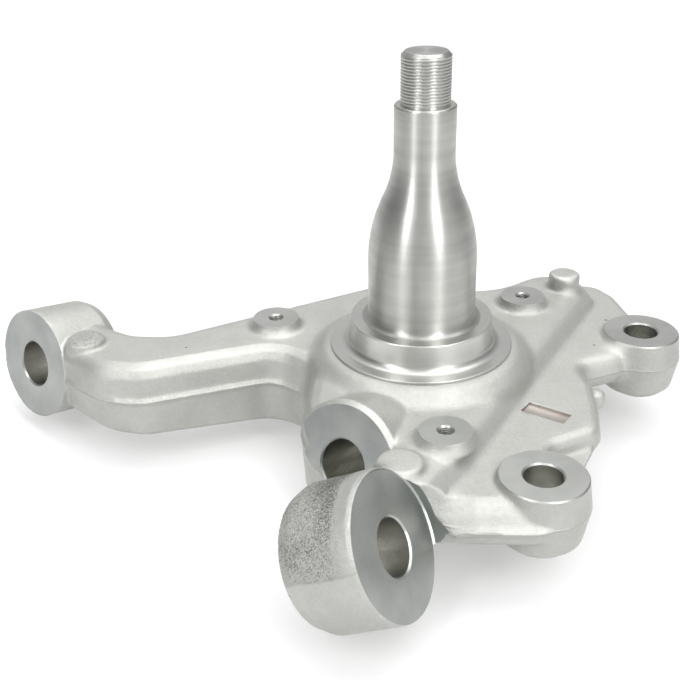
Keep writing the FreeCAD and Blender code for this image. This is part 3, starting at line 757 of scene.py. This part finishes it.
def stockBlank(s, cuts):
    # the frame's own shape with the spindle off, stock on every machined face and the bores filled
    work = bmesh.new()
    work.from_mesh(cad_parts["knuckle"].data)
    bmesh.ops.remove_doubles(work, verts=work.verts, dist=s["weld"])
    faces = machinedFaces(cuts)
    for centre, look, reach in faces:
        flat = [f for f in work.faces if f.normal.dot(look) > 0.999
                and abs((f.calc_center_median() / mm - centre).dot(look)) < 0.05
                and (f.calc_center_median() / mm - centre).length < reach]
        grown = bmesh.ops.extrude_face_region(work, geom=flat)
        moved = [item for item in grown["geom"] if isinstance(item, bmesh.types.BMVert)]
        bmesh.ops.translate(work, verts=moved, vec=look * s["stock"] * mm)
        bmesh.ops.delete(work, geom=flat, context="FACES_ONLY")
    mesh = bpy.data.meshes.new("blank")
    work.to_mesh(mesh)
    work.free()
    piece = addPiece("knuckleForging", mesh)
    top = turnedMesh("top", [(0.0, s["padLevel"]), (s["padRadius"], s["padLevel"]),
                             (s["padRadius"], s["padTop"]), (0.0, s["padTop"])], s["padSegments"])
    subtract(piece, addPiece("topCut", top))
    # plugs, as radius and depth, in the order of the faces
    taps = cuts["taps"]
    plugs = [(cuts["eyeBore"] + s["plugOver"], eye["plug"]) for eye in cuts["eyes"].values()]
    plugs += [(cuts["lugBore"] + s["plugOver"], cuts["lugFace"] - cuts["lugFloor"])] * len(cuts["lugs"])
    plugs += [(s["tapPlug"], taps["depth"] + 1)] * len(taps["angles"])
    join = bmesh.new()
    join.from_mesh(piece.data)
    for (centre, look, reach), (radius, depth) in zip(faces, plugs):
        profile = [(0.0, -depth), (radius, -depth), (radius, s["stock"]), (0.0, s["stock"])]
        plug = turnedMesh("plug", profile, s["plugSegments"])
        plug.transform(lookMatrix(centre, look))
        join.from_mesh(plug)
        bpy.data.meshes.remove(plug)
    join.to_mesh(piece.data)
    join.free()
    return piece


def readPoints(mesh):
    points = np.empty(len(mesh.vertices) * 3, np.float32)
    mesh.vertices.foreach_get("co", points)
    return points.reshape(-1, 3).astype(np.float64)


def writePoints(mesh, points):
    mesh.vertices.foreach_set("co", points.astype(np.float32).ravel())
    mesh.update()


def readNormals(mesh):
    normals = np.empty(len(mesh.vertices) * 3, np.float32)
    mesh.vertex_normals.foreach_get("vector", normals)
    return normals.reshape(-1, 3).astype(np.float64)


def easeRim(mesh, s, eye):
    # lets the web down beside the front boss, so that its spot face runs out at the rim
    look = np.array(eyeLook(eye))
    points = readPoints(mesh)
    away = points / mm - np.array(eye["face"])
    along = away @ look
    radius = np.linalg.norm(away - along[:, None] * look, axis=1)
    limit = s["rimRise"] + np.maximum(radius - eye["radius"], 0) * s["rimSlope"]
    near, far = s["rimReach"]
    share = np.clip((far - points[:, 0] / mm) / (far - near), 0, 1) * (radius < s["rimSpan"])
    down = np.maximum(along - limit, 0) * share
    points -= (down * mm)[:, None] * look
    writePoints(mesh, points)


def spotShare(mesh, s):
    # 1 in the inner half of each soft spot, fading to 0 at its reach
    plan = readPoints(mesh)[:, :2] / mm
    share = np.zeros(len(plan))
    for centre, reach in s["softSpots"]:
        share = np.maximum(share, 1 - np.linalg.norm(plan - np.array(centre), axis=1) / reach)
    return np.clip(share * 2, 0, 1)


def softShare(mesh, s):
    # the same along the crest's line and the ring round the collar
    plan = readPoints(mesh)[:, :2] / mm
    share = np.zeros(len(plan))
    line = np.array(s["crest"]) + np.array(s["crestShift"])
    for start, end in zip(line[:-1], line[1:]):
        run = end - start
        place = np.clip((plan - start) @ run / (run @ run), 0, 1)
        gap = np.linalg.norm(plan - start - place[:, None] * run, axis=1)
        share = np.maximum(share, 1 - gap / s["softReach"])
    radius, reach = s["softRing"]
    share = np.maximum(share, 1 - np.abs(np.linalg.norm(plan, axis=1) - radius) / reach)
    return np.clip(share * 2, 0, 1)


def blendHollows(mesh, rounds, keep, taking=None):
    # fills inner corners as a die does, outer edges moving only by the share keep
    pace = 0.5
    freshNormals = 4
    ends = np.empty(len(mesh.edges) * 2, np.int32)
    mesh.edges.foreach_get("vertices", ends)
    first = ends[0::2]
    second = ends[1::2]
    total = len(mesh.vertices)
    valence = np.bincount(ends, minlength=total).astype(np.float64)
    points = readPoints(mesh)
    for turn in range(rounds):
        if turn % freshNormals == 0:
            writePoints(mesh, points)
            normals = readNormals(mesh)
        mean = np.empty_like(points)
        for axis in range(3):
            mean[:, axis] = (np.bincount(first, points[second, axis], total)
                             + np.bincount(second, points[first, axis], total)) / valence
        shift = mean - points
        along = (shift * normals).sum(1)
        normalPart = normals * along[:, None]
        share = np.where(along > 0, pace, pace * keep)
        step = (shift - normalPart) * pace + normalPart * share[:, None]
        points += step if taking is None else step * taking[:, None]
    writePoints(mesh, points)


def partFinishes(mesh):
    # a crisp edge wherever a machined face meets the forged skin
    work = bmesh.new()
    work.from_mesh(mesh)
    for edge in work.edges:
        if len({face.material_index for face in edge.link_faces}) > 1:
            edge.smooth = False
    work.to_mesh(mesh)
    work.free()


def buildForging(s, cuts):
    piece = stockBlank(s, cuts)
    print("blank", len(piece.data.polygons))
    remesh = piece.modifiers.new("remesh", "REMESH")
    remesh.mode = "VOXEL"
    remesh.voxel_size = s["voxel"] * mm
    remesh.adaptivity = 0.0
    settle(piece)
    print("voxels", len(piece.data.polygons))
    easeRim(piece.data, s, cuts["eyes"]["front"])
    blendHollows(piece.data, s["rounds"], s["keep"])
    effort = 1
    blendHollows(piece.data, int(s["softRounds"] * effort), s["softKeep"], softShare(piece.data, s))
    blendHollows(piece.data, int(s["spotRounds"] * effort), s["softKeep"], spotShare(piece.data, s))
    triangles = len(piece.data.polygons) * 2
    if triangles > s["trianglesWanted"]:
        thin = piece.modifiers.new("thin", "DECIMATE")
        thin.ratio = s["trianglesWanted"] / triangles
        settle(piece)
    # nothing may stand outside the frame's box
    writePoints(piece.data, np.clip(readPoints(piece.data), cadBox[0], cadBox[1]))
    piece.data.materials.clear()
    for material in (skin, milled, bored, facing, recessed):
        piece.data.materials.append(material)
    for cutter in buildCutters(cuts):
        subtract(piece, cutter)
    tidyShading(piece.data, s["sharpFrom"])
    partFinishes(piece.data)
    return piece


forging = buildForging(forgingSettings, cutSettings)
print("forging made", len(forging.data.polygons))

for piece in (forging, spindle):
    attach(piece, "root")
    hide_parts("knuckle")


# floor, lights and world, in metres and watts
stageSettings = {
    "floorSize": 8.0, "floorShift": 1.2, "floorRoughness": 0.7,
    "floorTone": 0.55, "floorToneStep": 0.01, "floorNoise": 3.0, "floorLift": 0.34,
    # how bright the studio is by direction: base, then share of x, y and z
    "world": (0.50, 0.05, 0.06, 0.32),
    # and darker sides: direction and how much is taken off there
    "darkSides": [((-0.96, -0.24, 0.12), -0.62), ((0.86, 0.48, 0.10), -0.40)],
    "darkFall": 3.0, "dimmest": 0.12,
    "lights": [
        {"name": "leftStrip", "place": (-1.24, -1.46, 1.32), "size": (0.40, 2.4), "power": 26.0},
        {"name": "rightStrip", "place": (1.16, -1.54, 1.32), "size": (0.43, 2.4), "power": 29.5},
        {"name": "topLight", "place": (0.3, 0.5, 2.6), "size": (3.2, 2.4), "power": 54.0},
    ],
    "aim": (0, 0, 0.03),
}


def buildFloor(s):
    # white to the camera and in what the metal mirrors, and it keeps the object's shadow
    mesh = bpy.data.meshes.new("floor")
    work = bmesh.new()
    bmesh.ops.create_grid(work, x_segments=2, y_segments=2, size=s["floorSize"] / 2,
                          matrix=Matrix.Translation((0, s["floorShift"], cadBox[0][2])))
    work.to_mesh(mesh)
    work.free()
    material, tree, shader, place = newMaterial("paleFloor", 0.0, s["floorRoughness"])
    base = toneRamp(tree, addNoise(tree, place, s["floorNoise"]), [
        (0.3, (s["floorTone"],) * 3), (0.7, (s["floorTone"] + s["floorToneStep"],) * 3)])
    tree.links.new(base, shader.inputs["Base Color"])
    seen = tree.nodes.new("ShaderNodeLightPath")
    shown = addMath(tree, "MAXIMUM", seen.outputs["Is Camera Ray"], seen.outputs["Is Glossy Ray"])
    shown = addMath(tree, "MAXIMUM", shown, seen.outputs["Is Transmission Ray"])
    tree.links.new(addMath(tree, "MULTIPLY", shown, s["floorLift"]), shader.inputs["Emission Color"])
    shader.inputs["Emission Strength"].default_value = 1.0
    floor = addPiece("floor", mesh, [material])


def buildLights(s):
    for spec in s["lights"]:
        data = bpy.data.lights.new(spec["name"], "AREA")
        data.shape = "RECTANGLE"
        data.size = spec["size"][0]
        data.size_y = spec["size"][1]
        data.energy = spec["power"]
        light = bpy.data.objects.new(spec["name"], data)
        bpy.context.scene.collection.objects.link(light)
        aim = Vector(s["aim"]) - Vector(spec["place"])
        light.location = spec["place"]
        light.rotation_euler = aim.to_track_quat("-Z", "Y").to_euler()


def buildWorld(s):
    world = bpy.data.worlds.new("studio")
    world.use_nodes = True
    tree = world.node_tree
    back = tree.nodes["Background"]
    back.inputs["Color"].default_value = (1, 1, 1, 1)
    direction = tree.nodes.new("ShaderNodeTexCoord")

    def towards(heading):
        weigh = tree.nodes.new("ShaderNodeVectorMath")
        weigh.operation = "DOT_PRODUCT"
        tree.links.new(direction.outputs["Generated"], weigh.inputs[0])
        weigh.inputs[1].default_value = heading
        return weigh.outputs["Value"]

    level = addMath(tree, "ADD", towards(s["world"][1:]), s["world"][0])
    for heading, share in s["darkSides"]:
        dark = addMath(tree, "POWER", addMath(tree, "MAXIMUM", towards(heading), 0.0), s["darkFall"])
        level = addMath(tree, "ADD", level, addMath(tree, "MULTIPLY", dark, share))
    tree.links.new(addMath(tree, "MAXIMUM", level, s["dimmest"]), back.inputs["Strength"])
    bpy.context.scene.world = world


buildFloor(stageSettings)
buildLights(stageSettings)
buildWorld(stageSettings)
bpy.context.scene.view_settings.view_transform = "Standard"
print("stage made")
